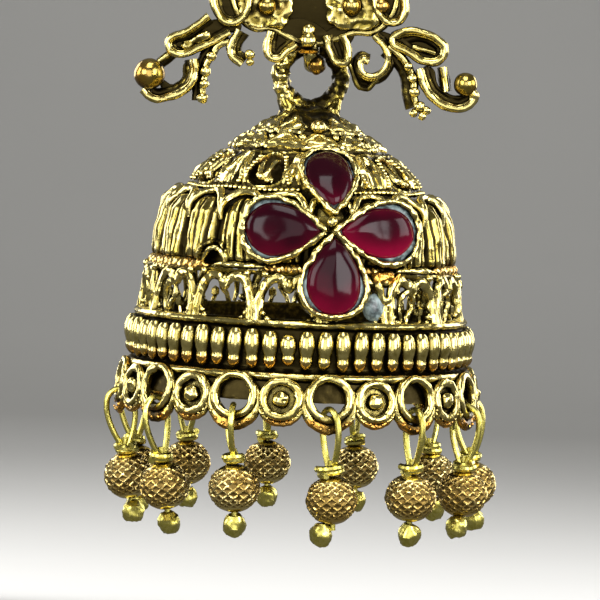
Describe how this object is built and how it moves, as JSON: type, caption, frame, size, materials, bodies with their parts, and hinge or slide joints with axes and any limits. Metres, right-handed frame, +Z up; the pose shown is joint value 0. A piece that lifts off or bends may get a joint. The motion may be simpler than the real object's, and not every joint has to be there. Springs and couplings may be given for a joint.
{
  "type": "jhumka earring",
  "caption": "Drop earring with a scrolled stud and ear post; a domed openwork bell set with red cabochons swings on its hook, with beads hung round the rim.",
  "frame": {"origin": "on the axis of the ear post, where it leaves the pad behind the stud: the back face that rests on the ear lobe", "axes": "+Z up, -Y to the front of the stud, +Y along the ear post, +X to the right of the stud as seen from the front"},
  "size_m": [0.0283, 0.0282, 0.0443],
  "materials": {
    "antique_gold": "cast and gilt, with polished high spots and a dark patina in the recesses",
    "bright_brass": "bright drawn wire",
    "cut_rose_gold": "diamond-cut lattice, lightly antiqued",
    "ruby": "polished domed red glass, dark behind",
    "post_steel": "plain bright post"
  },
  "bodies": {
    "stud": {"stud_motif": "antique_gold", "ear_post": "post_steel"},
    "bell": {"bell": "antique_gold", "ruby_top": "ruby", "ruby_left": "ruby", "ruby_right": "ruby", "ruby_bottom": "ruby", "drop_pin_00": "bright_brass", "drop_pin_01": "bright_brass", "drop_pin_02": "bright_brass", "drop_pin_03": "bright_brass", "drop_pin_04": "bright_brass", "drop_pin_05": "bright_brass", "drop_pin_06": "bright_brass", "drop_pin_07": "bright_brass", "drop_pin_08": "bright_brass", "drop_pin_09": "bright_brass", "drop_pin_10": "bright_brass", "drop_pin_11": "bright_brass", "drop_bead_00": "cut_rose_gold", "drop_bead_01": "cut_rose_gold", "drop_bead_02": "cut_rose_gold", "drop_bead_03": "cut_rose_gold", "drop_bead_04": "cut_rose_gold", "drop_bead_05": "cut_rose_gold", "drop_bead_06": "cut_rose_gold", "drop_bead_07": "cut_rose_gold", "drop_bead_08": "cut_rose_gold", "drop_bead_09": "cut_rose_gold", "drop_bead_10": "cut_rose_gold", "drop_bead_11": "cut_rose_gold"}
  },
  "joints": [
    {"name": "bell_swing", "type": "hinge", "parent": "stud", "child": "bell", "pos_m": [0, 0.0008, -0.00605], "axis": [0, 1, 0], "range_deg": [-22, 22]}
  ]
}
